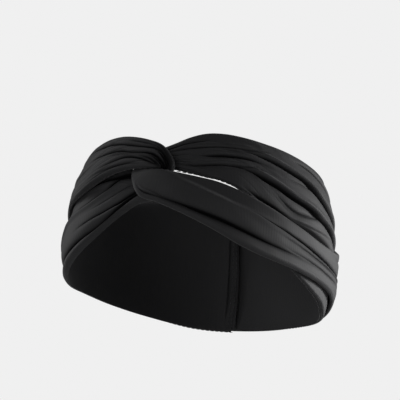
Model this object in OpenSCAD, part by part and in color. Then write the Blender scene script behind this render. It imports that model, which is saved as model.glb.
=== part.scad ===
// Knotted stretch headband: two tubes of double jersey folded round one another at the front
// and joined in one lapped seam at the back. It is drawn as worn, with the front tilted up.
// Axes: +Z up, the knot towards -Y, the wearer's left towards +X. The origin is the middle
// of the head opening.

/* [Head opening] */
// Half width of the band's middle surface, from side to side
half_width = 81.5; // [78:0.5:85]
// Half length of the band's middle surface, from front to back
half_length = 95; // [91:0.5:99]
// How much narrower the front is than the back, as a share of the width
egg_share = 0.04; // [0:0.01:0.08]
// Flattening over the ear on the -X side
left_flat = 4; // [2:0.5:5]
// Flattening over the ear on the +X side
right_flat = 3; // [2:0.5:5]
// How far the front is tilted up, in degrees
tilt = 16; // [0:1:25]

/* [Barrel shape] */
// Height at which the band stands out furthest, measured from the origin
belly_height = -9; // [-12:1:-6]
// Radius of the curve from the top edge to the bottom edge
belly_radius = 101; // [95:1:130]

/* [Thread] */
// Diameter of the seam thread
thread_d = 0.5; // [0.3:0.05:0.5]
// Length of the stitch rows in the back seam
seam_height = 77; // [70:1:77]

/* [Hidden] */

jersey = [0.06, 0.06, 0.065];
thread = [0.10, 0.10, 0.11];

cloth_sides = 20;    // points round a loop's cross-section
thread_sides = 6;    // points round a thread's cross-section
steps = 4;           // rings from one station to the next
row_steps = 26;      // rings along a stitch row
edge_power = 4;      // above 2 squares the edges of a cross-section off
shelf_start = 0.3;   // share of a leg's height where its offset starts to change
shelf_width = 0.55;  // share of its height over which the offset changes
thread_gap = 0.05;   // air between a thread and the cloth that it lies on

seam_low = -36.5;        // lower end of the stitch rows
lap_rows = [-180.5, -178.9];  // angles of the two rows through the lap, inside the band
lap_offset = -2.6;       // offset of the lap's inner face, clear of its facets
butt_offset = 1.7;       // offset of the row between the outer legs

// Stations along each loop: from the back seam forwards along the outer leg, round the knot,
// and back along the inner leg. Each holds the angle, height and offset of the edge on the
// inside of the turn, the same three for the edge on the outside of it, and the thickness.
// Angles run from the knot, positive towards +X. Offsets run outwards.
right_stations = [
    [179.8,  43,     1.4,    179.8,  -38,    1.4,   1.3],
    [160,    37,     1.7,    160,    -38.5,  1.7,   1.5],
    [140,    23,     2.1,    140,    -38.5,  2,     1.9],
    [120,    5,      2.5,    120,    -38.5,  3.2,   2.4],
    [100,    -7,     2.8,    100,    -34.5,  4.5,   2.8],
    [80,     -11,    2.5,    82,     -33.2,  3.6,   3.2],
    [62,     -8.5,   2.6,    64,     -32.6,  3.1,   3.8],
    [46,     -3,     3,      48,     -31.5,  3.2,   4.6],
    [34,     2.4,    3.4,    36,     -28.5,  3.7,   5.2],
    [25,     5.6,    3.8,    26,     -23.5,  4.3,   5.8],
    [17,     6.9,    4.4,    17,     -18.5,  4.9,   6.2],
    [9.5,    8,      5,      9,      -14,    5.4,   6.6],
    [4,      8.9,    5.2,    2,      -10,    5.4,   6.4],
    [0.5,    9.3,    4.8,    -4.4,   -6.8,   5.2,   6.4],
    [-1.6,   9.8,    3.6,    -7.9,   0.5,    4,     6.2],
    [-2.2,   10.2,   1.4,    -10,    7.5,    1.8,   5.8],
    [-1.6,   11.6,   -1.8,   -10.4,  13.3,   -1.5,  5.2],
    [0.3,    12.8,   -3.8,   -7,     21,     -3.8,  6.2],
    [3.5,    13,     -4.1,   -1,     25,     -4.1,  6],
    [8,      12,     -3.9,   6,      29,     -3.9,  5.6],
    [14,     10.5,   -3.5,   13,     33.5,   -3.5,  5.2],
    [21,     8.8,    -3,     21,     37,     -3,    4.8],
    [30,     7.2,    -2.6,   30,     38.5,   -2.4,  4.2],
    [40,     0.9,    -2.4,   40,     38.5,   -1.4,  3.6],
    [50,     -12,    -2.2,   50,     38,     -0.2,  3],
    [62,     -29,    -1.8,   62,     37.5,   1.2,   2.6],
    [76,     -36,    -0.9,   76,     36.5,   2.6,   2.2],
    [90,     -39.5,  -0.4,   90,     36,     3,     2],
    [104,    -43,    0,      104,    36,     2,     1.9],
    [120,    -42.5,  -0.3,   120,    37.5,   0.4,   1.7],
    [140,    -40,    -0.7,   140,    40,     -0.7,  1.5],
    [160,    -38.5,  -0.9,   160,    42,     -0.9,  1.3],
    [176,    -38,    -0.8,   176,    43,     -0.8,  1.2],
    [180,    -38,    -0.6,   180,    43,     -0.6,  1.2],
    [183,    -38,    -0.5,   183,    43,     -0.5,  1.2],
];

left_stations = [
    [-179.8, -38.7,  1.4,    -179.8, 43,     1.4,   1.3],
    [-160,   -37,    1.7,    -160,   42.5,   1.7,   1.5],
    [-140,   -31.5,  2,      -140,   41,     1.8,   1.8],
    [-120,   -20,    1.8,    -120,   38,     1.4,   2],
    [-100,   -8,     1.2,    -100,   34.5,   0.4,   2.2],
    [-80,    0,      0.4,    -80,    32,     -0.6,  2.4],
    [-64,    2.8,    -0.4,   -63,    31.5,   -1,    2.6],
    [-50,    1.6,    0.6,    -48,    32,     -0.2,  3.2],
    [-38,    2,      2,      -36,    33,     1.2,   4],
    [-28,    5,      3.2,    -27,    33.2,   2.7,   5],
    [-19,    8.4,    4,      -18.5,  32.6,   3.9,   5.8],
    [-11.5,  10,     4.8,    -11,    30.7,   4.9,   6.2],
    [-6,     10.2,   5.2,    -4,     28,     5.4,   6.6],
    [-2.5,   10,     4.8,    2,      24.5,   5.2,   6.6],
    [-0.4,   10,     3.2,    6,      18.5,   3.8,   7],
    [0.2,    9.2,    0.6,    7.6,    12,     1.2,   6.8],
    [-0.8,   7.6,    -2.2,   4.6,    5.5,    -2.6,  6],
    [-2.3,   6.2,    -3.8,   2.8,    -2.4,   -3.8,  5.8],
    [-5.5,   7,      -4.2,   -1.6,   -6.4,   -4.1,  5.6],
    [-11,    11.6,   -4.6,   -8,     -8.6,   -3.6,  5],
    [-16.5,  15.5,   -4.2,   -14,    -14,    -2,    4.6],
    [-23.5,  18.5,   -4,     -20.5,  -19.8,  -0.8,  4.2],
    [-32,    21,     -3.6,   -29,    -26.4,  0.5,   3.6],
    [-42,    21,     -3.4,   -40,    -31.8,  1.3,   3],
    [-52,    20,     -3.4,   -51,    -35.2,  1.4,   2.6],
    [-64,    20,     -3.4,   -64,    -37.6,  0.9,   2.2],
    [-80,    22,     -3.2,   -80,    -36.4,  0.2,   2],
    [-100,   28,     -2.2,   -100,   -33.1,  0.2,   1.8],
    [-120,   35,     -1.2,   -120,   -32.9,  -0.2,  1.6],
    [-140,   39.5,   -0.9,   -140,   -34.5,  -0.7,  1.4],
    [-160,   42,     -0.9,   -160,   -37.5,  -0.9,  1.2],
    [-172,   43,     -0.9,   -172,   -38.7,  -0.9,  1.2],
    [-174.8, 43,     -1.4,   -175.6, -38.7,  -1.4,  1.1],
    [-176.6, 43,     -2,     -177.4, -38.7,  -2,    1],
    [-181.2, 43,     -1.8,   -182.4, -38.7,  -1.8,  0.9],
];

// Middle surface of the band: an egg-shaped oval, leaning inwards above and below its belly
function side_flat(th) = sin(th) < 0 ? left_flat : right_flat;
function oval_x(th) = half_width * sin(th) * (1 - egg_share * cos(th)) - side_flat(th) * pow(sin(th), 3);
function oval_y(th) = -half_length * cos(th);
function unit(v) = v / norm(v);
function outward(th) =
    let (along = unit([oval_x(th + 0.5) - oval_x(th - 0.5), oval_y(th + 0.5) - oval_y(th - 0.5)]))
    [along[1], -along[0]];
function lean(z) = pow(z - belly_height, 2) / (2 * belly_radius);
function on_band(th, z, offset) =
    let (out = outward(th) * (offset - lean(z)))
    [oval_x(th) + out[0], oval_y(th) + out[1], z];

// Smooth curve through the stations
function curve(a, b, c, d, t) =
    0.5 * (2 * b + (c - a) * t + (2 * a - 5 * b + 4 * c - d) * t * t
           + (3 * b - a - 3 * c + d) * t * t * t);
function held(list, i) = list[max(0, min(len(list) - 1, i))];
function station(list, s) =
    let (i = floor(s))
    curve(held(list, i - 1), held(list, i), held(list, i + 1), held(list, i + 2), s - i);
function all_stations(list) = [for (i = [0 : (len(list) - 1) * steps]) station(list, i / steps)];

function ease(t) = t * t * (3 - 2 * t);
function shelf(u) = ease(max(0, min(1, (u - shelf_start) / shelf_width)));

// One cross-section of a leg: a flat slab with rounded edges, curved with the band
function slab(s) = [
    for (k = [0 : cloth_sides - 1])
        let (a = 360 * (k + 0.5) / cloth_sides,
             u = 0.5 - 0.5 * cos(a),
             v = 0.5 * s[6] * sign(sin(a)) * pow(1 - pow(abs(cos(a)), edge_power), 1 / edge_power))
        on_band(s[0] + (s[3] - s[0]) * u,
                s[1] + (s[4] - s[1]) * u,
                s[2] + (s[5] - s[2]) * shelf(u) + v)
];

// Closed skin over rings that all have the same number of points
module skin_over(rings) {
    n = len(rings[0]);
    last = len(rings) - 1;
    faces = concat(
        [for (r = [0 : last - 1], k = [0 : n - 1])
            let (k2 = (k + 1) % n)
            each [[r * n + k, r * n + k2, (r + 1) * n + k],
                  [r * n + k2, (r + 1) * n + k2, (r + 1) * n + k]]],
        [[for (k = [n - 1 : -1 : 0]) k]],
        [[for (k = [0 : n - 1]) last * n + k]]
    );
    polyhedron(points = [for (ring = rings) each ring], faces = faces, convexity = 8);
}

// Round thread through a list of points
module thread_through(points) {
    last = len(points) - 1;
    skin_over([
        for (i = [0 : last])
            let (along = unit(points[min(last, i + 1)] - points[max(0, i - 1)]),
                 across = unit(cross(along, [points[i][0], points[i][1], 0])),
                 out = cross(across, along))
            [for (k = [0 : thread_sides - 1])
                let (a = 360 * k / thread_sides)
                points[i] + thread_d / 2 * (across * cos(a) + out * sin(a))]
    ]);
}

// The thread that closes a tube runs beside the edge on the inside of the turn
function tube_seam_point(s) =
    let (edge = on_band(s[0], s[1], s[2]), far = on_band(s[3], s[4], s[5]))
    edge + unit(edge - far) * (thread_d / 2 + thread_gap);

module tube_seam(stations) {
    thread_through([for (s = all_stations(stations)) tube_seam_point(s)]);
}

// A row of stitches down the back seam
module stitch_row(th, offset) {
    thread_through([for (i = [0 : row_steps]) on_band(th, seam_low + seam_height * i / row_steps, offset)]);
}

module worn() {
    rotate([-tilt, 0, 0]) children();
}

// Front leg low, folded at the left of the knot, inner leg high
module right_loop() {
    color(jersey) worn() skin_over([for (s = all_stations(right_stations)) slab(s)]);
}

// Front leg high, turned down through the right loop, inner leg low
module left_loop() {
    color(jersey) worn() skin_over([for (s = all_stations(left_stations)) slab(s)]);
}

module right_tube_seam() {
    color(thread) worn() tube_seam(right_stations);
}

module left_tube_seam() {
    color(thread) worn() tube_seam(left_stations);
}

// Two rows through the lap, inside, and one row in the valley between the outer legs
module back_seam_thread() {
    color(thread) worn() {
        for (th = lap_rows) stitch_row(th, lap_offset - thread_d / 2 - thread_gap);
        stitch_row(180, butt_offset);
    }
}

right_loop();
left_loop();
right_tube_seam();
left_tube_seam();
back_seam_thread();
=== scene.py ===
import math

import bpy
import numpy as np
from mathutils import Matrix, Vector


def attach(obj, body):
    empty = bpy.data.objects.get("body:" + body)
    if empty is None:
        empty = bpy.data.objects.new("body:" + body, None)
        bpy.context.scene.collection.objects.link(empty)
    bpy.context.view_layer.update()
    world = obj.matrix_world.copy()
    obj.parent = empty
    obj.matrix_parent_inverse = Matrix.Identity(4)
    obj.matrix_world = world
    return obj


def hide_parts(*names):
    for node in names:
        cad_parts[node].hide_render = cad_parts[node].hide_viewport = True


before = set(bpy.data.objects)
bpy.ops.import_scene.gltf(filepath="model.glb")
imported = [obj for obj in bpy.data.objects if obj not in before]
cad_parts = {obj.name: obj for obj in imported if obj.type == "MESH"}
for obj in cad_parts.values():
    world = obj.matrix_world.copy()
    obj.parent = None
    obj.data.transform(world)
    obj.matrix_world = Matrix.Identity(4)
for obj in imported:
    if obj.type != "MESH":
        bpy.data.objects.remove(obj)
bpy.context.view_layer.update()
print("frame loaded with", len(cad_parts), "nodes")

mm = 0.001
turn = 2 * math.pi

# The head opening that both loops run round, in millimetres and degrees
opening = {
    "halfWidth": 81.5,
    "halfLength": 95,
    "eggShare": 0.04,  # how much narrower the front is
    "leftFlat": 4,  # how far each side is pressed flat
    "rightFlat": 3,
    "tilt": 16,  # front up, as worn
    "bellyHeight": -9,  # the wall is widest here and leans in above and below
    "bellyRadius": 101,
    "aimStep": 0.5,  # degrees to either side that give the wall's direction
}


def unitRows(v):
    return v / np.linalg.norm(v, axis=-1, keepdims=True)


def ease(t):
    t = np.clip(t, 0, 1)
    return t * t * (3 - 2 * t)


def ovalAt(angle):
    a = np.radians(angle)
    flat = np.where(np.sin(a) < 0, opening["leftFlat"], opening["rightFlat"])
    x = opening["halfWidth"] * np.sin(a) * (1 - opening["eggShare"] * np.cos(a))
    return np.stack([x - flat * np.sin(a) ** 3, -opening["halfLength"] * np.cos(a)], -1)


# A point of the band: angle round the opening from the knot, height, and offset outwards
def onBand(angle, height, offset):
    angle, height, offset = np.broadcast_arrays(angle, height, offset)
    step = opening["aimStep"]
    along = unitRows(ovalAt(angle + step) - ovalAt(angle - step))
    lean = (height - opening["bellyHeight"]) ** 2 / (2 * opening["bellyRadius"])
    out = (offset - lean)[..., None]
    flat = ovalAt(angle) + np.stack([along[..., 1], -along[..., 0]], -1) * out
    return np.concatenate([flat, height[..., None]], -1)


# The band as it is worn, front tilted up
def worn(points):
    a = math.radians(opening["tilt"])
    x, y, z = points[..., 0], points[..., 1], points[..., 2]
    return np.stack([x, y * math.cos(a) + z * math.sin(a), z * math.cos(a) - y * math.sin(a)], -1)


# Smooth curve through the stations of a loop, at any places along it
def stationsAt(stations, places):
    rows = np.array(stations, float)
    i = np.clip(np.floor(places).astype(int), 0, len(rows) - 2)
    t = (places - i)[:, None]
    a, b, c, d = (rows[np.clip(i + k, 0, len(rows) - 1)] for k in (-1, 0, 1, 2))
    return 0.5 * (2 * b + (c - a) * t + (2 * a - 5 * b + 4 * c - d) * t**2
                  + (3 * b - a - 3 * c + d) * t**3)


# The two edges of a loop, on the inside and on the outside of its turn
def edgesOf(rows):
    return onBand(rows[:, 0], rows[:, 1], rows[:, 2]), onBand(rows[:, 3], rows[:, 4], rows[:, 5])


# Each station: angle, height and offset of the edge on the inside of the turn, the same for
# the edge on the outside of it, and the thickness. A place is a station's number, or a
# number between two. A share across a leg is 0 at its inside edge and 1 at its outside edge.
# Each pleat: the half width of its valley, how much it rolls over on one side of the valley
# (its sign is the side), and the line it follows as (place, share across, depth).
# The CAD solids are swept through the same stations.
rightLoop = {
    "name": "right_loop",
    "stations": [
        (179.8, 43, 1.4, 179.8, -38, 1.4, 1.3),
        (160, 37, 1.7, 160, -38.5, 1.7, 1.5),
        (140, 23, 2.1, 140, -38.5, 2.0, 1.9),
        (120, 5, 2.5, 120, -38.5, 3.2, 2.4),
        (100, -7, 2.8, 100, -34.5, 4.5, 2.8),
        (80, -11, 2.5, 82, -33.2, 3.6, 3.2),
        (62, -8.5, 2.6, 64, -32.6, 3.1, 3.8),
        (46, -3, 3.0, 48, -31.5, 3.2, 4.6),
        (34, 2.4, 3.4, 36, -28.5, 3.7, 5.2),
        (25, 5.6, 3.8, 26, -23.5, 4.3, 5.8),
        (17, 6.9, 4.4, 17, -18.5, 4.9, 6.2),
        (9.5, 8.0, 5.0, 9, -14, 5.4, 6.6),
        (4, 8.9, 5.2, 2, -10, 5.4, 6.4),
        (0.5, 9.3, 4.8, -4.4, -6.8, 5.2, 6.4),
        (-1.6, 9.8, 3.6, -7.9, 0.5, 4.0, 6.2),
        (-2.2, 10.2, 1.4, -10.0, 7.5, 1.8, 5.8),
        (-1.6, 11.6, -1.8, -10.4, 13.3, -1.5, 5.2),
        (0.3, 12.8, -3.8, -7, 21, -3.8, 6.2),
        (3.5, 13, -4.1, -1, 25, -4.1, 6.0),
        (8, 12, -3.9, 6, 29, -3.9, 5.6),
        (14, 10.5, -3.5, 13, 33.5, -3.5, 5.2),
        (21, 8.8, -3.0, 21, 37, -3.0, 4.8),
        (30, 7.2, -2.6, 30, 38.5, -2.4, 4.2),
        (40, 0.9, -2.4, 40, 38.5, -1.4, 3.6),
        (50, -12, -2.2, 50, 38, -0.2, 3.0),
        (62, -29, -1.8, 62, 37.5, 1.2, 2.6),
        (76, -36, -0.9, 76, 36.5, 2.6, 2.2),
        (90, -39.5, -0.4, 90, 36, 3.0, 2.0),
        (104, -43, 0.0, 104, 36, 2.0, 1.9),
        (120, -42.5, -0.3, 120, 37.5, 0.4, 1.7),
        (140, -40, -0.7, 140, 40, -0.7, 1.5),
        (160, -38.5, -0.9, 160, 42, -0.9, 1.3),
        (176, -38, -0.8, 176, 43, -0.8, 1.2),
        (180, -38, -0.6, 180, 43, -0.6, 1.2),
        (183, -38, -0.5, 183, 43, -0.5, 1.2),
    ],
    "pleats": [
        # front leg: the thin crease that opens into the hollow above the lower lip
        (0.5, -0.3, [(13.4, 0.80, 0), (12.8, 0.84, 1.8), (12.2, 0.87, 2.2), (11.4, 0.89, 1.6),
                     (10.4, 0.88, 0.6), (9.6, 0.86, 0)]),
        (2.0, 0, [(12.4, 0.84, 0), (11.4, 0.86, 1.4), (10.2, 0.83, 2.4), (9.2, 0.79, 2.6),
                  (8.2, 0.75, 2.4), (7.2, 0.75, 1.6), (6, 0.74, 0.5), (5, 0.74, 0)]),
        # front leg, from its middle to the side
        (0.9, 0.30, [(7.6, 0.31, 0), (6.9, 0.32, 0.9), (6, 0.33, 1.6), (5, 0.37, 2.0),
                     (4.3, 0.45, 1.9), (3.2, 0.50, 1.0), (2, 0.5, 0)]),
        (1.2, 0.20, [(6.6, 0.46, 0), (5.8, 0.48, 0.6), (5, 0.50, 1.0), (4, 0.57, 0.8),
                     (3, 0.6, 0)]),
        (1.6, 0.2, [(6.8, 0.62, 0), (5.6, 0.66, 0.7), (4.6, 0.70, 0.9), (3.4, 0.72, 0)]),
        (1.0, 0.3, [(4.4, 0.15, 0), (3.4, 0.2, 0.8), (2.4, 0.26, 0.9), (1.2, 0.3, 0.3),
                    (0.6, 0.3, 0)]),
        (1.2, 0.3, [(3.6, 0.66, 0), (2.6, 0.62, 0.7), (1.4, 0.6, 0.5), (0.6, 0.6, 0)]),
        # wing, from its top edge down
        (0.7, -0.3, [(17.6, 0.82, 0), (18.4, 0.81, 1.8), (19.4, 0.80, 1.6), (20.6, 0.80, 0.8),
                     (21.4, 0.84, 0)]),
        (0.7, 0.3, [(18.6, 0.66, 0), (19.6, 0.65, 0.7), (20.8, 0.65, 1.1), (22, 0.70, 1.2),
                    (23.2, 0.80, 0.9), (24.0, 0.88, 0)]),
        (0.7, 0.2, [(21.4, 0.60, 0), (22.2, 0.63, 0.7), (23, 0.72, 0.6), (23.8, 0.8, 0)]),
        (1.0, 0.35, [(20.4, 0.45, 0), (21.2, 0.47, 1.6), (21.8, 0.50, 2.2), (22.6, 0.58, 2.2),
                     (23.2, 0.64, 1.4), (23.9, 0.68, 0)]),
        (0.6, 0.3, [(19.6, 0.2, 0), (20.6, 0.21, 0.9), (21.6, 0.30, 1.1), (22.5, 0.41, 1.1),
                    (23.2, 0.53, 0.9), (24, 0.6, 0)]),
        (0.8, 0.35, [(19.8, 0.16, 0), (20.5, 0.21, 1.4), (21.6, 0.30, 2.0), (22.4, 0.375, 1.8),
                     (23, 0.43, 1.0), (23.6, 0.46, 0)]),
        (1.0, 0.45, [(22.4, 0.38, 0), (23, 0.43, 1.6), (23.6, 0.465, 2.6), (24.5, 0.535, 3.2),
                     (25.4, 0.57, 3.4), (26.1, 0.565, 3.2), (27.2, 0.54, 2.4), (28.4, 0.5, 0)]),
        (0.9, 0.45, [(22.6, 0.72, 0), (23.4, 0.76, 1.4), (24.2, 0.785, 2.2), (24.8, 0.79, 2.8),
                     (25.5, 0.79, 3.0), (26, 0.75, 3.0), (26.5, 0.70, 2.6), (27.2, 0.67, 1.8),
                     (28.2, 0.64, 0)]),
        (0.8, 0.3, [(25.0, 0.93, 0), (25.6, 0.94, 1.2), (26.2, 0.93, 1.6), (27, 0.88, 1.3),
                    (28, 0.82, 0.5), (29, 0.8, 0)]),
        (1.4, 0.2, [(24.2, 0.42, 0), (24.8, 0.44, 0.9), (25.4, 0.48, 1.2), (26.1, 0.55, 0.9),
                    (26.8, 0.56, 0)]),
        (0.4, 0.5, [(23.4, 0.16, 0), (24.1, 0.27, 0.5), (25, 0.40, 0.6), (26, 0.46, 0.6),
                    (26.8, 0.49, 0.4), (27.6, 0.5, 0)]),
        (0.9, 0.3, [(24.6, 0.70, 0), (25.3, 0.74, 0.9), (26, 0.75, 1.0), (26.8, 0.68, 0.8),
                    (27.6, 0.62, 0)]),
        (2.2, 0, [(22.8, 0.06, 0), (23.3, 0.12, 2.0), (23.8, 0.20, 2.8), (24.4, 0.285, 3.2),
                  (24.9, 0.345, 3.4), (25.4, 0.385, 3.4), (26, 0.41, 3.2), (26.8, 0.42, 2.4),
                  (28, 0.42, 0)]),
        # behind the ear and on to the back
        (1.3, 0.3, [(27.4, 0.86, 0), (28.4, 0.84, 0.7), (30, 0.86, 0.6), (31.5, 0.88, 0)]),
    ],
    # a ledge drops the cloth on one side of its line: reach, side, [(place, share, drop)]
    "ledges": [
        (4.2, -1, [(12.6, 0.06, 0), (11.6, 0.15, 1.0), (10.6, 0.29, 2.3), (9.6, 0.36, 2.8),
                   (8.8, 0.385, 2.6), (8, 0.38, 2.0), (7.2, 0.34, 0.8), (6.6, 0.31, 0)]),
    ],
    # where the thin folds lie: first place, last place, amount
    "folds": [(16, 29, 1.0)],
    # a swell moves both faces in or out: place, share, reach along, reach across, push
    "swells": [
        (9.6, 0.10, 1.6, 0.16, -1.2),
        (27.6, 0.0, 1.7, 0.12, 2.0),
        (4.6, 0.06, 2.2, 0.10, 0.2),
    ],
    "seed": 11,
}

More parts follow.
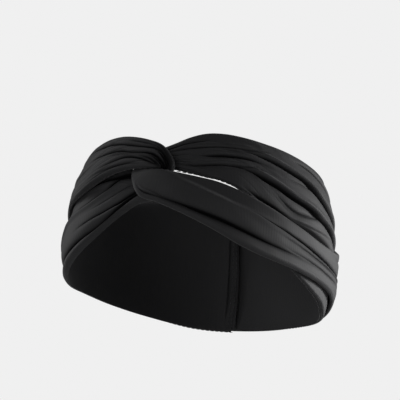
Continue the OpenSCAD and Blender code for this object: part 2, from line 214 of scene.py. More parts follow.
leftLoop = {
    "name": "left_loop",
    "stations": [
        (-179.8, -38.7, 1.4, -179.8, 43, 1.4, 1.3),
        (-160, -37, 1.7, -160, 42.5, 1.7, 1.5),
        (-140, -31.5, 2.0, -140, 41, 1.8, 1.8),
        (-120, -20, 1.8, -120, 38, 1.4, 2.0),
        (-100, -8, 1.2, -100, 34.5, 0.4, 2.2),
        (-80, 0, 0.4, -80, 32, -0.6, 2.4),
        (-64, 2.8, -0.4, -63, 31.5, -1.0, 2.6),
        (-50, 1.6, 0.6, -48, 32, -0.2, 3.2),
        (-38, 2.0, 2.0, -36, 33, 1.2, 4.0),
        (-28, 5, 3.2, -27, 33.2, 2.7, 5.0),
        (-19, 8.4, 4.0, -18.5, 32.6, 3.9, 5.8),
        (-11.5, 10.0, 4.8, -11, 30.7, 4.9, 6.2),
        (-6, 10.2, 5.2, -4, 28, 5.4, 6.6),
        (-2.5, 10.0, 4.8, 2, 24.5, 5.2, 6.6),
        (-0.4, 10, 3.2, 6, 18.5, 3.8, 7.0),
        (0.2, 9.2, 0.6, 7.6, 12, 1.2, 6.8),
        (-0.8, 7.6, -2.2, 4.6, 5.5, -2.6, 6.0),
        (-2.3, 6.2, -3.8, 2.8, -2.4, -3.8, 5.8),
        (-5.5, 7, -4.2, -1.6, -6.4, -4.1, 5.6),
        (-11, 11.6, -4.6, -8, -8.6, -3.6, 5.0),
        (-16.5, 15.5, -4.2, -14, -14, -2.0, 4.6),
        (-23.5, 18.5, -4.0, -20.5, -19.8, -0.8, 4.2),
        (-32, 21, -3.6, -29, -26.4, 0.5, 3.6),
        (-42, 21, -3.4, -40, -31.8, 1.3, 3.0),
        (-52, 20, -3.4, -51, -35.2, 1.4, 2.6),
        (-64, 20, -3.4, -64, -37.6, 0.9, 2.2),
        (-80, 22, -3.2, -80, -36.4, 0.2, 2.0),
        (-100, 28, -2.2, -100, -33.1, 0.2, 1.8),
        (-120, 35, -1.2, -120, -32.9, -0.2, 1.6),
        (-140, 39.5, -0.9, -140, -34.5, -0.7, 1.4),
        (-160, 42, -0.9, -160, -37.5, -0.9, 1.2),
        (-172, 43, -0.9, -172, -38.7, -0.9, 1.2),
        (-174.8, 43, -1.4, -175.6, -38.7, -1.4, 1.1),
        (-176.6, 43, -2.0, -177.4, -38.7, -2.0, 1.0),
        (-181.2, 43, -1.8, -182.4, -38.7, -1.8, 0.9),
    ],
    "pleats": [
        # front leg, from its top edge down, all gathered into the dive
        (0.7, 0.30, [(7.0, 0.93, 0), (7.8, 0.88, 1.0), (8.6, 0.84, 1.3), (9.8, 0.78, 1.5),
                     (10.9, 0.71, 1.6), (11.8, 0.69, 1.4), (12.4, 0.71, 1.6), (13.1, 0.76, 1.4),
                     (13.8, 0.74, 1.8), (14.6, 0.70, 1.8), (15.4, 0.68, 1.4), (16.4, 0.66, 0)]),
        (0.4, 0.3, [(12.8, 0.985, 0), (13.4, 0.965, 1.6), (14.2, 0.955, 1.8),
                    (15.0, 0.945, 1.6), (16.2, 0.94, 0)]),
        (0.4, 0.3, [(12.6, 0.90, 0), (13.3, 0.87, 1.2), (14.1, 0.84, 1.6), (15, 0.82, 1.4),
                    (16.2, 0.81, 0)]),
        (0.55, 0.35, [(12.2, 0.97, 0), (12.9, 0.93, 1.2), (13.6, 0.905, 1.9), (14.4, 0.89, 2.0),
                      (15.2, 0.87, 1.8), (16.4, 0.86, 0)]),
        (0.6, 0.35, [(12.4, 0.86, 0), (13.1, 0.84, 1.7), (13.8, 0.805, 2.3), (14.5, 0.78, 2.4),
                     (15.2, 0.76, 2.0), (16.4, 0.75, 0)]),
        (0.6, 0.30, [(12.8, 0.68, 0), (13.3, 0.66, 1.3), (13.9, 0.62, 2.0), (14.6, 0.59, 2.1),
                     (15.4, 0.57, 1.6), (16.4, 0.56, 0)]),
        (0.8, 0.30, [(7.8, 0.64, 0), (8.6, 0.62, 1.0), (9.5, 0.58, 1.4), (10.6, 0.55, 1.4),
                     (11.2, 0.47, 1.3), (12, 0.49, 1.4), (12.6, 0.53, 2.2), (13.3, 0.50, 2.6),
                     (14.1, 0.45, 2.6), (15, 0.45, 2.0), (16.4, 0.46, 0)]),
        (0.5, 0.30, [(12.4, 0.44, 0), (13.0, 0.42, 1.4), (13.7, 0.37, 1.7), (14.4, 0.34, 1.6),
                     (15.2, 0.34, 1.2), (16.2, 0.34, 0)]),
        (0.6, 0.30, [(11.6, 0.38, 0), (12.3, 0.36, 1.2), (12.9, 0.33, 1.7), (13.6, 0.27, 2.0),
                     (14.4, 0.23, 1.7), (15.4, 0.22, 0)]),
        (0.7, 0.3, [(9.2, 0.28, 0), (10, 0.29, 1.0), (10.8, 0.34, 1.5), (11.4, 0.32, 1.6),
                    (12.1, 0.27, 1.6), (12.8, 0.22, 1.9), (13.5, 0.16, 2.0), (14.4, 0.13, 1.4),
                    (15.4, 0.12, 0)]),
        (0.8, 0.2, [(8.8, 0.20, 0), (9.6, 0.18, 0.8), (10.4, 0.17, 0.9), (11.2, 0.17, 0.7),
                    (12, 0.16, 0)]),
        (0.8, -0.35, [(6.4, 0.03, 0), (6.9, 0.05, 1.4), (7.4, 0.07, 2.0), (7.9, 0.095, 2.4),
                      (8.4, 0.10, 2.6), (8.8, 0.11, 2.6), (9.3, 0.12, 2.4), (9.9, 0.12, 2.2),
                      (10.5, 0.12, 1.8), (11.2, 0.11, 1.0), (12, 0.1, 0)]),
        (0.7, 0.2, [(10.6, 0.86, 0), (11.4, 0.83, 0.9), (12.2, 0.84, 1.1), (13, 0.84, 0.4),
                    (13.4, 0.84, 0)]),
        (0.7, 0.2, [(9.6, 0.46, 0), (10.2, 0.46, 0.8), (10.8, 0.44, 0.8), (11.4, 0.41, 0.3),
                    (11.8, 0.4, 0)]),
        # towards the side and the back
        (1.1, 0.3, [(4.2, 0.34, 0), (5.4, 0.38, 0.8), (6.6, 0.42, 1.0), (7.8, 0.46, 0.6),
                    (8.6, 0.48, 0)]),
        (1.1, 0.3, [(3.4, 0.72, 0), (4.6, 0.74, 0.8), (6, 0.78, 1.0), (7.0, 0.82, 0.5),
                    (7.6, 0.84, 0)]),
        (1.2, 0.3, [(1.6, 0.42, 0), (2.8, 0.46, 0.7), (4, 0.52, 0.9), (5.4, 0.58, 0.6),
                    (6.4, 0.6, 0)]),
        (1.1, 0.3, [(1.8, 0.80, 0), (3, 0.84, 0.7), (4.2, 0.88, 0.5), (5.2, 0.9, 0)]),
        # lower run
        (1.3, 0.40, [(18.6, 0.08, 0), (19.2, 0.12, 2.6), (19.8, 0.17, 3.0), (20.6, 0.24, 3.0),
                     (21.4, 0.275, 3.0), (22.2, 0.285, 2.8), (23, 0.265, 2.0), (24, 0.26, 0.6),
                     (24.6, 0.26, 0)]),
        (1.05, 0.40, [(18.8, 0.25, 0), (19.4, 0.27, 1.8), (20, 0.30, 2.4), (20.6, 0.345, 2.4),
                      (21.2, 0.43, 2.4), (21.8, 0.475, 2.6), (22.4, 0.505, 2.8),
                      (23.2, 0.495, 2.8), (24, 0.51, 2.6), (24.6, 0.60, 2.2), (25.4, 0.66, 1.2),
                      (26.4, 0.7, 0)]),
        (0.6, 0.3, [(19, 0.19, 0), (19.8, 0.23, 1.2), (20.6, 0.29, 0.8), (21.4, 0.34, 0)]),
        (1.0, 0.40, [(18.4, 0.56, 0), (19, 0.615, 2.6), (19.5, 0.69, 3.2), (20, 0.745, 3.4),
                     (20.6, 0.765, 3.0), (21.2, 0.775, 2.2), (22, 0.755, 1.2), (23, 0.75, 0)]),
        (1.6, 0.40, [(18.3, 0.66, 0), (18.9, 0.75, 2.8), (19.4, 0.82, 3.2), (20, 0.885, 3.4),
                     (20.8, 0.925, 3.4), (21.6, 0.925, 3.2), (22.4, 0.905, 3.0),
                     (23.2, 0.895, 2.8), (24.2, 0.89, 2.4), (25.4, 0.89, 1.4),
                     (26.6, 0.89, 0)]),
        (0.8, 0.25, [(19, 0.42, 0), (19.8, 0.50, 0.9), (20.6, 0.58, 1.1), (21.4, 0.62, 0.6),
                     (22.2, 0.63, 0)]),
    ],
    "ledges": [],
    "folds": [(4, 17, 1.0), (17, 27, 0.45)],
    "swells": [
        (20.6, 0.95, 2.6, 0.07, 0.9),
        (24.6, 0.52, 2.0, 0.14, 1.2),
        (25.0, 0.75, 2.0, 0.14, 0.8),
    ],
    "seed": 23,
}

# Shape of both loops' cloth. Depths, heights and reaches are in millimetres.
cloth = {
    "rings": 400,  # cross-sections along a loop
    "ringSteps": 3000,  # fine steps that the rings are picked from
    "ringPace": 0.55,  # 1 spaces the rings by length, 0 by station
    "facePoints": 186,  # points across the outward face
    "backPoints": 22,  # points across the face towards the head
    "edgePoints": 9,  # points round each folded edge, for each face
    "edgeRound": 0.45,  # reach of a folded edge, as a share of the thickness
    "edgeFade": 1.6,  # pleats fade out this close to an edge
    "knotPlace": 15,  # the place in the middle of the turn
    "knotReach": 5,  # how many places to either side are gathered
    "crown": 0.5,  # how far a gathered leg swells in its middle
    "shelfStart": 0.3,  # share across where a leg's offset starts to change
    "shelfWidth": 0.55,
    "ledgeWall": 1,  # least thickness that a ledge leaves
    "leastWall": 0.8,  # least thickness under a pleat
    "showThrough": 0.3,  # how far a deep pleat shows on the face towards the head
    "beyond": 0.2,  # what is kept of a pleat's depth past that
    # the jersey of one loop as cut, closed into a tube that lies flat
    "cutLength": 580,
    "backWidth": 82.5,  # at the back, folded
    "knotWidth": 55,  # in its middle, where it is gathered into the knot
}

# Reaches and distances here are times the half width of the pleat's own valley
pleatShape = {
    "deeper": 1.5,  # times the depths that the lines give
    "bottom": 0.04,  # rounds the bottom of a valley, mm squared
    "rollAway": 2.4,  # from the valley to the middle of its roll
    "rollReach": 1.7,
    "pull": 0.5,  # how strongly the cloth is drawn in towards the valley
    "pullDepth": 1.2,  # a deeper pleat pulls no more than this one, mm
    "pullReach": 1.8,
    # reach of the painted shade across a valley, and the depth at which it is full
    "shadeReach": 1.15,
    "shadeDepth": 2.2,  # a pleat this deep gets the full painted shade, mm
    "corner": (-0.3, -0.15, 0, 0.15, 0.3),  # places that a line's corners are eased over
}

# Small long puckers that run with the cloth. Each pair is the least and the most of a
# random value.
puckerShape = {
    "count": 9,
    "length": (45, 110),
    "width": (7, 19),
    "wander": (2, 5),
    "wanderLength": (50, 90),
    "wanderPhase": (0, 6),
    "phase": (0, 6.28),
    "height": 0.16,
    "calm": 0.6,  # share of the height away from the knot
    "gathered": 1.2,  # and how much is added in the knot
    "back": 0.35,  # share of it on the face towards the head
}

# Thin folds, close together, that gather with the cloth, with pairs as above
foldShape = {
    "count": 7,
    "length": (40, 100),
    "across": (3, 9),  # how many folds lie side by side
    "slant": (0, 4),
    "phase": (0, 6),
    "foldPhase": (0, 3),
    "flow": 0.07,  # all of them sway together by this share of the leg
    "flowLength": 140,
    "sharpness": 4,
    "depth": 0.55,
    "calm": 0.3,  # share of the depth away from the knot
    # painted shade that the thin folds add along their valleys
    "shade": 0.25,
    "seedStep": 5,
}


# A value along a pleat's line, eased over its corners
def softLine(line, column, places):
    at = [p[0] for p in sorted(line)]
    value = [p[column] for p in sorted(line)]
    corner = pleatShape["corner"]
    return sum(np.interp(places + shift, at, value) for shift in corner) / len(corner)


def puckers(seed, along, across):
    dice = np.random.default_rng(seed)
    total = np.zeros_like(across)
    for _ in range(puckerShape["count"]):
        longWave = turn / dice.uniform(*puckerShape["length"])
        shortWave = turn / dice.uniform(*puckerShape["width"])
        sway = dice.uniform(*puckerShape["wander"])
        wander = sway * np.sin(along * turn / dice.uniform(*puckerShape["wanderLength"])
                               + dice.uniform(*puckerShape["wanderPhase"]))
        total += (np.sin(along * longWave + dice.uniform(*puckerShape["phase"]))
                  * np.sin((across + wander) * shortWave + dice.uniform(*puckerShape["phase"])))
    return total / math.sqrt(puckerShape["count"])


def thinFolds(seed, along, share):
    dice = np.random.default_rng(seed + foldShape["seedStep"])
    total = np.zeros_like(share)
    flow = foldShape["flow"] * np.sin(along * turn / foldShape["flowLength"]
                                      + dice.uniform(*foldShape["phase"]))
    for _ in range(foldShape["count"]):
        strong = np.sin(along * turn / dice.uniform(*foldShape["length"])
                        + dice.uniform(*foldShape["phase"])
                        + share * dice.uniform(*foldShape["slant"]))
        wave = np.abs(np.sin(math.pi * dice.uniform(*foldShape["across"]) * (share + flow)
                             + dice.uniform(*foldShape["foldPhase"])))
        total -= np.clip(strong, 0, 1) * (1 - wave) ** foldShape["sharpness"]
    return total


# How each point of a cross-section sits: share across, and height through the thickness,
# from 1 on the outward face to -1 on the face towards the head
def sectionAt(width, thickness):
    reach = np.minimum(width / 2, thickness * cloth["edgeRound"])
    quarter = (np.arange(cloth["edgePoints"]) + 0.5) / cloth["edgePoints"] * math.pi / 2
    faces = []
    for side, count in ((1, cloth["facePoints"]), (-1, cloth["backPoints"])):
        first = reach * (1 - np.cos(quarter))
        middle = reach + (width - 2 * reach) * (np.arange(count) + 0.5) / count
        share = np.concatenate([first, middle, width - first[:, ::-1]], 1) / width
        flat = np.ones((len(width), count))
        rise = np.broadcast_to(np.sin(quarter), first.shape)
        height = side * np.concatenate([rise, flat, rise[:, ::-1]], 1)
        faces.append((share, height) if side > 0 else (share[:, ::-1], height[:, ::-1]))
    share = np.concatenate([faces[0][0], faces[1][0]], 1)
    height = np.concatenate([faces[0][1], faces[1][1]], 1)
    return share, height


# Where the rings go: their places, and the length of cloth up to each. They lie closer
# together where the stations do, round the knot.
def ringPlaces(stations):
    fine = np.linspace(0, len(stations) - 1, cloth["ringSteps"])
    rows = stationsAt(stations, fine)
    middle = onBand(*((rows[:, k] + rows[:, k + 3]) / 2 for k in range(3)))
    step = np.linalg.norm(np.diff(middle, axis=0), axis=1)
    length = np.concatenate([[0], np.cumsum(step)])
    pace = np.concatenate([[0], np.cumsum((step / step.mean()) ** cloth["ringPace"])])
    places = np.interp(np.linspace(0, pace[-1], cloth["rings"]), pace, fine)
    return places, np.interp(places, fine, length)


# How far the ledges drop the outward face, and how far the swells push both faces
def ledgesAndSwells(loop, places, share, width):
    drop = np.zeros_like(share)
    for reach, side, line in loop["ledges"]:
        past = side * (share - softLine(line, 1, places)[:, None]) * width
        drop += softLine(line, 2, places)[:, None] * ease(past / reach)
    swell = np.zeros_like(share)
    for place, middle, reachAlong, reachAcross, push in loop["swells"]:
        near = (((places[:, None] - place) / reachAlong) ** 2
                + ((share - middle) / reachAcross) ** 2)
        swell += push * np.exp(-near)
    return drop, swell


# How far the pleats move the cloth out and sideways, and how much painted shade their valleys get
def layPleats(loop, places, share, width):
    lift, slide, paintedCreaseShade = (np.zeros_like(share) for _ in range(3))
    for reach, roll, line in loop["pleats"]:
        away = (share - softLine(line, 1, places)[:, None]) * width
        depth = softLine(line, 2, places)[:, None] * pleatShape["deeper"]
        lift -= depth * np.exp(-np.sqrt(away**2 + pleatShape["bottom"]) / reach)
        # painted shade: each valley is marked darker by its depth, and the shader mixes in a
        # black matte surface there
        dark = np.exp(-((away / (pleatShape["shadeReach"] * reach)) ** 2))
        paintedCreaseShade = np.maximum(paintedCreaseShade, depth / pleatShape["shadeDepth"] * dark)
        pastRoll = away - np.sign(roll) * pleatShape["rollAway"] * reach
        lift += abs(roll) * depth * np.exp(-((pastRoll / (pleatShape["rollReach"] * reach)) ** 2))
        pull = pleatShape["pull"] * np.minimum(depth, pleatShape["pullDepth"])
        slide -= pull * away * np.exp(-((away / (pleatShape["pullReach"] * reach)) ** 2))
    return lift, slide, paintedCreaseShade


# All points of a loop, ring by ring, with the length along, the length around and the painted
# shade of the creases for each
def loopGrid(loop):
    places, run = ringPlaces(loop["stations"])
    rows = stationsAt(loop["stations"], places)
    inner, outer = edgesOf(rows)
    width = np.linalg.norm(outer - inner, axis=1)[:, None]
    thickness = rows[:, 6, None]
    share, through = sectionAt(width, thickness)
    gather = np.exp(-((places - cloth["knotPlace"]) / cloth["knotReach"]) ** 2)[:, None]

    # the plain leg: between its edges, crowned in the knot, with its ledges and swells
    shelf = ease((share - cloth["shelfStart"]) / cloth["shelfWidth"])
    crown = cloth["crown"] * gather * 4 * share * (1 - share)
    drop, swell = ledgesAndSwells(loop, places, share, width)
    half = (thickness - np.minimum(drop, thickness - cloth["ledgeWall"])) / 2
    front = through > 0
    offset = swell - drop / 2 + half * through + crown * front * np.abs(through)
    start, span = rows[:, None, 0:3], rows[:, None, 3:6] - rows[:, None, 0:3]
    smooth = onBand(start[..., 0] + span[..., 0] * share, start[..., 1] + span[..., 1] * share,
                    start[..., 2] + span[..., 2] * shelf + offset)
    alongWay = unitRows(np.gradient(smooth, axis=0))
    acrossWay = unitRows(np.gradient(smooth, axis=1))
    normal = unitRows(np.cross(acrossWay, alongWay))
    faceColumn, backColumn = 40, -20  # one point column on each face
    outwards = (smooth[:, faceColumn] - smooth[:, backColumn]) * normal[:, faceColumn]
    if np.mean(np.sum(outwards, -1)) < 0:
        normal = -normal

    # pleats, puckers and thin folds, and the painted shade of their valleys
    lift, slide, paintedCreaseShade = layPleats(loop, places, share, width)
    folds = thinFolds(loop["seed"], run[:, None], share)
    small = puckers(loop["seed"], run[:, None], share * width)
    lift += (puckerShape["height"] * (puckerShape["calm"] + puckerShape["gathered"] * gather)
             * small)
    gathered = sum(amount * ease(places - first) * ease(last - places)
                   for first, last, amount in loop["folds"])
    folds *= (foldShape["calm"] + gather) * gathered[:, None]
    lift += foldShape["depth"] * folds
    # the valleys of the thin folds add painted shade
    paintedCreaseShade -= foldShape["shade"] * folds

    # they fade out round the folded edges, and the face towards the head only follows
    edge = ease(np.minimum(share, 1 - share) * width / cloth["edgeFade"])
    deepest = thickness - cloth["leastWall"] + cloth["showThrough"]
    lift = np.maximum(lift, cloth["beyond"] * (lift + deepest) - deepest)
    lift *= edge
    slide *= edge * front
    follow = np.minimum(0, lift + thickness - cloth["leastWall"])
    back = -follow + puckerShape["back"] * puckerShape["height"] * small * edge
    move = np.where(front, lift, back)
    points = smooth + normal * move[..., None] + acrossWay * slide[..., None]
    steps = np.linalg.norm(np.diff(points, axis=1), axis=-1)
    around = np.concatenate([np.zeros((len(points), 1)), np.cumsum(steps, axis=1)], 1)
    # the painted shade lies on the outward face only and fades out at the folded edges
    return points, run, around, np.clip(paintedCreaseShade, 0, 1) * edge * front


def addMesh(name, points, faces, smooth=True):
    mesh = bpy.data.meshes.new(name)
    mesh.from_pydata(points, [], faces)
    mesh.update()
    if smooth:
        mesh.polygons.foreach_set("use_smooth", [True] * len(mesh.polygons))
    piece = bpy.data.objects.new(name, mesh)
    bpy.context.collection.objects.link(piece)
    return piece


# Closed skin over the rings of a loop, with the cloth's own lengths as its UV map
def skinLoop(loop):
    grid, run, around, paintedCreaseShade = loopGrid(loop)
    rings, count = grid.shape[:2]
    points = worn(grid).reshape(-1, 3) * mm
    ends = [worn(grid[0]).mean(0) * mm, worn(grid[-1]).mean(0) * mm]
    firstEnd, lastEnd = len(points), len(points) + 1
    corner = np.arange(rings * count).reshape(rings, count)
    a, b = corner[:-1], corner[1:]
    quads = np.stack([a, b, np.roll(b, -1, 1), np.roll(a, -1, 1)], -1).reshape(-1, 4)
    caps = [(firstEnd, corner[0, k], corner[0, (k + 1) % count]) for k in range(count)]
    caps += [(lastEnd, corner[-1, (k + 1) % count], corner[-1, k]) for k in range(count)]
    faces = [tuple(map(int, f)) for f in quads] + [tuple(map(int, f)) for f in caps]

    # a negative volume means that the faces point inwards
    tri = np.concatenate([quads[:, [0, 1, 2]], quads[:, [0, 2, 3]]])
    p, q, r = (points[tri[:, k]] for k in range(3))
    if np.sum(p * np.cross(q, r)) < 0:
        faces = [f[::-1] for f in faces]
    piece = addMesh(loop["name"] + "_cloth", np.vstack([points, ends]).tolist(), faces)

    coordinates = np.zeros((len(points) + 2, 2))
    coordinates[:-2, 0] = np.repeat(run, count) * mm
    coordinates[:-2, 1] = around.reshape(-1) * mm
    layer = piece.data.uv_layers.new(name="clothRun")
    corners = np.empty(len(piece.data.loops), int)
    piece.data.loops.foreach_get("vertex_index", corners)
    layer.data.foreach_set("uv", coordinates[corners].ravel())
    # the painted crease shade of each point, kept as an attribute for the shader
    depth = piece.data.attributes.new("paintedCreaseShade", "FLOAT", "POINT")
    depth.data.foreach_set("value", np.append(paintedCreaseShade.ravel(), [0, 0]))
    print(piece.name, "has", len(faces), "faces, centre line", round(float(run[-1])), "mm")
    return piece


# One node socket, so that shader maths reads as maths
class Wire:
    def __init__(self, maker, socket):
        self.maker = maker
        self.socket = socket

    def maths(self, kind, *values):
        return self.maker.node("ShaderNodeMath", {"operation": kind}, dict(enumerate(values)))

    def __add__(self, other):
        return self.maths("ADD", self, other)

    def __radd__(self, other):
        return self.maths("ADD", other, self)

    def __sub__(self, other):
        return self.maths("SUBTRACT", self, other)

    def __rsub__(self, other):
        return self.maths("SUBTRACT", other, self)

    def __mul__(self, other):
        return self.maths("MULTIPLY", self, other)

    def __rmul__(self, other):
        return self.maths("MULTIPLY", other, self)

    def sine(self):
        return self.maths("SINE", self)


class Maker:
    def __init__(self, tree):
        self.tree = tree

    # any node: its type, its settings, then the values or links of its sockets
    def node(self, kind, settings=None, sockets=None, output=0):
        made = self.tree.nodes.new(kind)
        for name, value in (settings or {}).items():
            setattr(made, name, value)
        for name, value in (sockets or {}).items():
            if isinstance(value, Wire):
                self.tree.links.new(value.socket, made.inputs[name])
            else:
                made.inputs[name].default_value = value
        return Wire(self, made.outputs[output]) if len(made.outputs) else None


def newMaterial(name):
    material = bpy.data.materials.new(name)
    material.use_nodes = True
    material.node_tree.nodes.clear()
    return material, Maker(material.node_tree)


jersey = {
    "colour": (0.0185, 0.0185, 0.0200, 1),
    "worn": (0.0260, 0.0260, 0.0275, 1),  # paler streaks and patches
    "creaseShadeColour": (0.002, 0.002, 0.0022, 1),  # painted shade in the creases, nearly black
    "creaseShadeShare": 0.88,  # how much of the painted shade shows in a full crease
    "roughness": 0.72,
    "roughSpread": 0.12,
    "specular": 0.35,
    "sheen": 0.10,
    "sheenRoughness": 0.45,
    "sheenTint": (0.9, 0.9, 0.92, 1),
    "wale": 1.9,  # spacing of the ribs of the knit, mm
    "waleDrift": 5.0,  # how unevenly they run
    "course": 0.8,  # spacing of its rows, mm
    "courseDrift": 4.0,
    "driftScale": 60.0,
    "streakAlong": 900.0,  # streaks are thin along the loop and long around it
    "streakAround": 45.0,
    "fuzzScale": 2600.0,
    "patchScale": 22.0,
    # shares of the height of the knit
    "ribShare": 0.45,
    "rowShare": 0.12,
    "streakShare": 1.3,
    "fuzzShare": 0.35,
    "ribHeight": 0.05,  # mm
    "bump": 0.55,
}


def makeJersey():
    material, make = newMaterial("blackJersey")
    place = make.node("ShaderNodeUVMap", {"uv_map": "clothRun"})
    along = make.node("ShaderNodeSeparateXYZ", {}, {0: place}, 0)
    around = make.node("ShaderNodeSeparateXYZ", {}, {0: place}, 1)

    def noise(vector, scale, detail):
        return make.node("ShaderNodeTexNoise", {},
                         {"Vector": vector, "Scale": scale, "Detail": detail})

    # ribs run round the tube, a little unevenly
    drift = noise(place, jersey["driftScale"], 2.0)
    rib = (along * (turn / (jersey["wale"] * mm)) + drift * jersey["waleDrift"]).sine()
    row = (around * (turn / (jersey["course"] * mm)) + drift * jersey["courseDrift"]).sine()
    stretched = make.node("ShaderNodeCombineXYZ", {}, {
        0: along * jersey["streakAlong"], 1: around * jersey["streakAround"]})
    streak = noise(stretched, 1.0, 3.0)
    fuzz = noise(place, jersey["fuzzScale"], 2.0)
    knit = (rib * jersey["ribShare"] + row * jersey["rowShare"]
            + streak * jersey["streakShare"] + fuzz * jersey["fuzzShare"])
    bump = make.node("ShaderNodeBump", {}, {
        "Height": knit, "Strength": jersey["bump"], "Distance": jersey["ribHeight"] * mm})
    patch = noise(place, jersey["patchScale"], 3.0)
    # sockets 6 and 7 of a colour Mix are its two colours, and output 2 is its result
    shade = make.node("ShaderNodeMix", {"data_type": "RGBA"}, {
        0: patch * 0.5 + streak * 0.5, 6: jersey["colour"], 7: jersey["worn"]}, 2)
    # painted shade: the painted crease shade of each point mixes in a black matte surface, so the
    # creases look shadowed
    paintedCreaseShade = make.node("ShaderNodeAttribute", {"attribute_name": "paintedCreaseShade"}, {}, 2)
    surface = make.node("ShaderNodeBsdfPrincipled", {}, {
        "Base Color": shade, "Normal": bump,
        "Roughness": jersey["roughness"] + (fuzz - 0.5) * jersey["roughSpread"],
        "Sheen Weight": jersey["sheen"], "Sheen Roughness": jersey["sheenRoughness"],
        "Sheen Tint": jersey["sheenTint"], "Specular IOR Level": jersey["specular"]})
    shadow = make.node("ShaderNodeBsdfPrincipled", {}, {
        "Base Color": jersey["creaseShadeColour"], "Roughness": 1.0, "Specular IOR Level": 0.0})
    both = make.node("ShaderNodeMixShader", {}, {
        0: paintedCreaseShade * jersey["creaseShadeShare"], 1: surface, 2: shadow})
    make.node("ShaderNodeOutputMaterial", {}, {"Surface": both})
    return material


jerseyMaterial = makeJersey()
for loop in (rightLoop, leftLoop):
    piece = skinLoop(loop)
    piece.data.materials.append(jerseyMaterial)
    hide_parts(loop["name"])
    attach(piece, "root")
print("loops dressed in jersey")

# Sizes in millimetres, angles in degrees
stitching = {
    "thickness": 0.42,
    "tubeStitch": 2.6,
    "tubePitch": 3.1,
    "tubeLift": 0.12,  # how far the thread stands off the edge of the tube
    "seamStitch": 2.2,
    "seamPitch": 2.9,
    "seamLow": -36.5,
    "seamHeight": 77,
    "lapAngles": (-180.5, -178.9),  # two rows through the lap, on the inside
    "lapOffset": -2.7,
    "buttAngle": 180,  # one row between the outer legs
    "buttOffset": 1.7,
    "tubePoints": 700,  # points of the line that the stitches follow
    "seamPoints": 60,
    "shortest": 0.9,  # uneven stitches, as a share of their size
    "longest": 1.05,
    "seed": 5,
}

thread = {
    "colour": (0.022, 0.022, 0.024, 1),
    "roughness": 0.55,
    "roughSpread": 0.2,
    "sheen": 0.2,
    "twistScale": 1500.0,
    "twistHeight": 0.05,  # mm
    "bump": 0.5,
}


def makeThread():
    material, make = newMaterial("blackThread")
    place = make.node("ShaderNodeTexCoord", {}, {}, 3)  # output 3 is Object
    twist = make.node("ShaderNodeTexNoise", {}, {
        "Vector": place, "Scale": thread["twistScale"], "Detail": 2.0})
    bump = make.node("ShaderNodeBump", {}, {
        "Height": twist, "Strength": thread["bump"], "Distance": thread["twistHeight"] * mm})
    surface = make.node("ShaderNodeBsdfPrincipled", {}, {
        "Base Color": thread["colour"], "Normal": bump, "Sheen Weight": thread["sheen"],
        "Roughness": thread["roughness"] + (twist - 0.5) * thread["roughSpread"]})
    make.node("ShaderNodeOutputMaterial", {}, {"Surface": surface})
    return material


# Stitches along a line of points: one rounded bar at each pitch, turned along the line
def stitchTree():
    tree = bpy.data.node_groups.new("stitchesAlongLine", "GeometryNodeTree")
    face = tree.interface
    inputs = {"Geometry": "NodeSocketGeometry", "Pitch": "NodeSocketFloat",
              "Length": "NodeSocketFloat", "Thickness": "NodeSocketFloat",
              "Seed": "NodeSocketInt", "Material": "NodeSocketMaterial"}
    for name, kind in inputs.items():
        face.new_socket(name, in_out="INPUT", socket_type=kind)
    face.new_socket("Geometry", in_out="OUTPUT", socket_type="NodeSocketGeometry")
    make = Maker(tree)
    given = tree.nodes.new("NodeGroupInput")
    give = {socket.name: Wire(make, socket) for socket in given.outputs}
    line = make.node("GeometryNodeMeshToCurve", {}, {0: give["Geometry"]})
    spaced = make.node("GeometryNodeResampleCurve", {"mode": "LENGTH"}, {
        "Curve": line, "Length": give["Pitch"]})
    tangent = make.node("GeometryNodeInputTangent")
    turned = make.node("FunctionNodeAlignRotationToVector", {"axis": "Z"}, {"Vector": tangent})
    # one unit across, so that its scale is its size
    bar = make.node("GeometryNodeMeshUVSphere", {}, {"Segments": 8, "Rings": 6, "Radius": 0.5})
    shape = make.node("ShaderNodeCombineXYZ", {}, {
        0: give["Thickness"], 1: give["Thickness"], 2: give["Length"]})
    # sockets 2 and 3 of a Random Value are its least and most, and output 1 is its number
    uneven = make.node("FunctionNodeRandomValue", {"data_type": "FLOAT"}, {
        2: stitching["shortest"], 3: stitching["longest"], "Seed": give["Seed"]}, 1)
    sized = make.node("ShaderNodeVectorMath", {"operation": "SCALE"}, {0: shape, "Scale": uneven})
    rows = make.node("GeometryNodeInstanceOnPoints", {}, {
        "Points": spaced, "Instance": bar, "Rotation": turned, "Scale": sized})
    real = make.node("GeometryNodeRealizeInstances", {}, {"Geometry": rows})
    rounded = make.node("GeometryNodeSetShadeSmooth", {}, {0: real})
    dressed = make.node("GeometryNodeSetMaterial", {}, {
        "Geometry": rounded, "Material": give["Material"]})
    end = tree.nodes.new("NodeGroupOutput")
    tree.links.new(dressed.socket, end.inputs[0])
    return tree


def layStitches(name, lines, pitch, length, tree, material):
    points, edges = [], []
    for line in lines:
        start = len(points)
        points += (worn(line) * mm).tolist()
        edges += [(start + k, start + k + 1) for k in range(len(line) - 1)]
    mesh = bpy.data.meshes.new(name + "_line")
    mesh.from_pydata(points, edges, [])
    guide = bpy.data.objects.new(name + "_line", mesh)
    bpy.context.collection.objects.link(guide)
    lay = guide.modifiers.new("stitches", "NODES")
    lay.node_group = tree
    sizes = {"Pitch": pitch * mm, "Length": length * mm,
             "Thickness": stitching["thickness"] * mm,
             "Seed": stitching["seed"], "Material": material}
    for item in tree.interface.items_tree:
        if item.item_type == "SOCKET" and item.in_out == "INPUT" and item.name in sizes:
            lay[item.identifier] = sizes[item.name]
    graph = bpy.context.evaluated_depsgraph_get()
    made = bpy.data.meshes.new_from_object(guide.evaluated_get(graph), depsgraph=graph)
    made.name = name
    piece = bpy.data.objects.new(name, made)
    bpy.context.collection.objects.link(piece)
    bpy.data.objects.remove(guide)
    print(name, "has", len(made.polygons), "faces")
    return piece


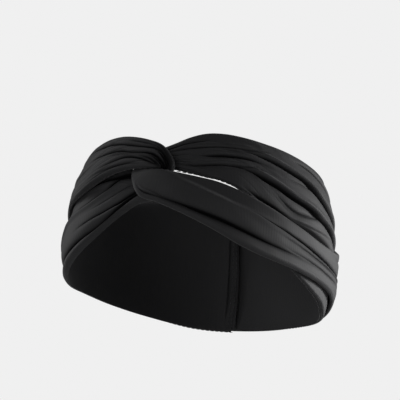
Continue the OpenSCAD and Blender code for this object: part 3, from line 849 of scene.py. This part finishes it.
# The seam that closes a tube lies beside the edge on the inside of its turn
def tubeSeamLine(loop):
    places = np.linspace(0, len(loop["stations"]) - 1, stitching["tubePoints"])
    near, far = edgesOf(stationsAt(loop["stations"], places))
    return near + unitRows(near - far) * stitching["tubeLift"]


def seamRow(angle, offset):
    count = stitching["seamPoints"]
    heights = stitching["seamLow"] + np.linspace(0, stitching["seamHeight"], count)
    return onBand(np.full(count, angle), heights, np.full(count, offset))


threadMaterial = makeThread()
stitches = stitchTree()
tubeSizes = (stitching["tubePitch"], stitching["tubeStitch"])
seamSizes = (stitching["seamPitch"], stitching["seamStitch"])
backRows = [seamRow(angle, stitching["lapOffset"]) for angle in stitching["lapAngles"]]
backRows += [seamRow(stitching["buttAngle"], stitching["buttOffset"])]
threads = [
    ("right_tube_seam", [tubeSeamLine(rightLoop)], tubeSizes),
    ("left_tube_seam", [tubeSeamLine(leftLoop)], tubeSizes),
    ("back_seam_thread", backRows, seamSizes),
]
for node, lines, (pitch, length) in threads:
    piece = layStitches(node + "_stitches", lines, pitch, length, stitches, threadMaterial)
    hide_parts(node)
    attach(piece, "root")
print("seams stitched")

studio = {
    "azimuth": 15.5,
    "distance": 1.0,
    "aim": (0.0006, 0.021),  # right of and above the origin, seen from the camera
    "lens": 150,
    "sensor": 36,
    "backdrop": 0.871,
    "ambient": 0.003,
    "floorDrop": 0.30,
    "floorSize": 60,
    "floorColour": (0.35, 0.35, 0.35, 1),
    # name, azimuth, elevation, distance, width, height, power
    "lamps": [
        ("rightRear", 130, -4, 0.9, 0.3, 0.2, 6.4),
        ("rightSide", 100, -2, 0.9, 0.3, 0.2, 2.4),
        ("leftSide", -105, 8, 0.9, 0.3, 0.4, 1.6),
        ("leftHigh", -80, 50, 0.9, 0.3, 0.5, 1.5),
        ("front", -14, 14, 0.9, 0.3, 0.4, 1.0),
        ("frontHigh", -20, 45, 0.9, 0.3, 0.5, 0.4),
        ("frontLow", -35, -16, 0.9, 0.6, 0.08, 0.9),
        ("insideLow", 30, -14, 0.9, 0.5, 0.08, 0.9),
    ],
}


def compass(azimuth, elevation):
    a, e = math.radians(azimuth), math.radians(elevation)
    return Vector((math.sin(a) * math.cos(e), -math.cos(a) * math.cos(e), math.sin(e)))


def placeCamera(scene):
    a = math.radians(studio["azimuth"])
    right, up = studio["aim"]
    aim = Vector((math.cos(a), math.sin(a), 0)) * right + Vector((0, 0, up))
    camera = bpy.data.objects.new("camera", bpy.data.cameras.new("camera"))
    camera.data.lens = studio["lens"]
    camera.data.sensor_width = studio["sensor"]
    camera.location = compass(studio["azimuth"], 0) * studio["distance"]
    camera.rotation_euler = (aim - camera.location).to_track_quat("-Z", "Y").to_euler()
    scene.collection.objects.link(camera)
    scene.camera = camera


# Seen directly the backdrop is pale, and it lights the cloth only a little
def hangBackdrop(scene):
    world = bpy.data.worlds.new("backdrop")
    world.use_nodes = True
    scene.world = world
    world.node_tree.nodes.clear()
    make = Maker(world.node_tree)
    seen = make.node("ShaderNodeLightPath")
    level = seen * (studio["backdrop"] - studio["ambient"]) + studio["ambient"]
    glow = make.node("ShaderNodeBackground", {}, {"Color": (1, 1, 1, 1), "Strength": level})
    make.node("ShaderNodeOutputWorld", {}, {"Surface": glow})


def hangLamps(scene):
    for name, azimuth, elevation, distance, width, height, power in studio["lamps"]:
        lamp = bpy.data.lights.new(name, "AREA")
        lamp.shape = "RECTANGLE"
        lamp.size, lamp.size_y, lamp.energy = width, height, power
        holder = bpy.data.objects.new(name, lamp)
        holder.location = compass(azimuth, elevation) * distance
        holder.rotation_euler = (-holder.location).to_track_quat("-Z", "Y").to_euler()
        scene.collection.objects.link(holder)


def layFloor():
    material, make = newMaterial("paleFloor")
    seen = make.node("ShaderNodeLightPath")
    paint = make.node("ShaderNodeBsdfDiffuse", {}, {"Color": studio["floorColour"]})
    pale = make.node("ShaderNodeEmission", {}, {
        "Color": (1, 1, 1, 1), "Strength": studio["backdrop"]})
    mixed = make.node("ShaderNodeMixShader", {}, {0: seen, 1: paint, 2: pale})
    make.node("ShaderNodeOutputMaterial", {}, {"Surface": mixed})
    half, drop = studio["floorSize"] / 2, -studio["floorDrop"]
    corners = [(-half, -half, drop), (half, -half, drop), (half, half, drop), (-half, half, drop)]
    floor = addMesh("floor", corners, [(0, 1, 2, 3)], smooth=False)
    floor.data.materials.append(material)


scene = bpy.context.scene
scene.view_settings.view_transform = "Standard"
placeCamera(scene)
hangBackdrop(scene)
hangLamps(scene)
layFloor()
print("studio lit")
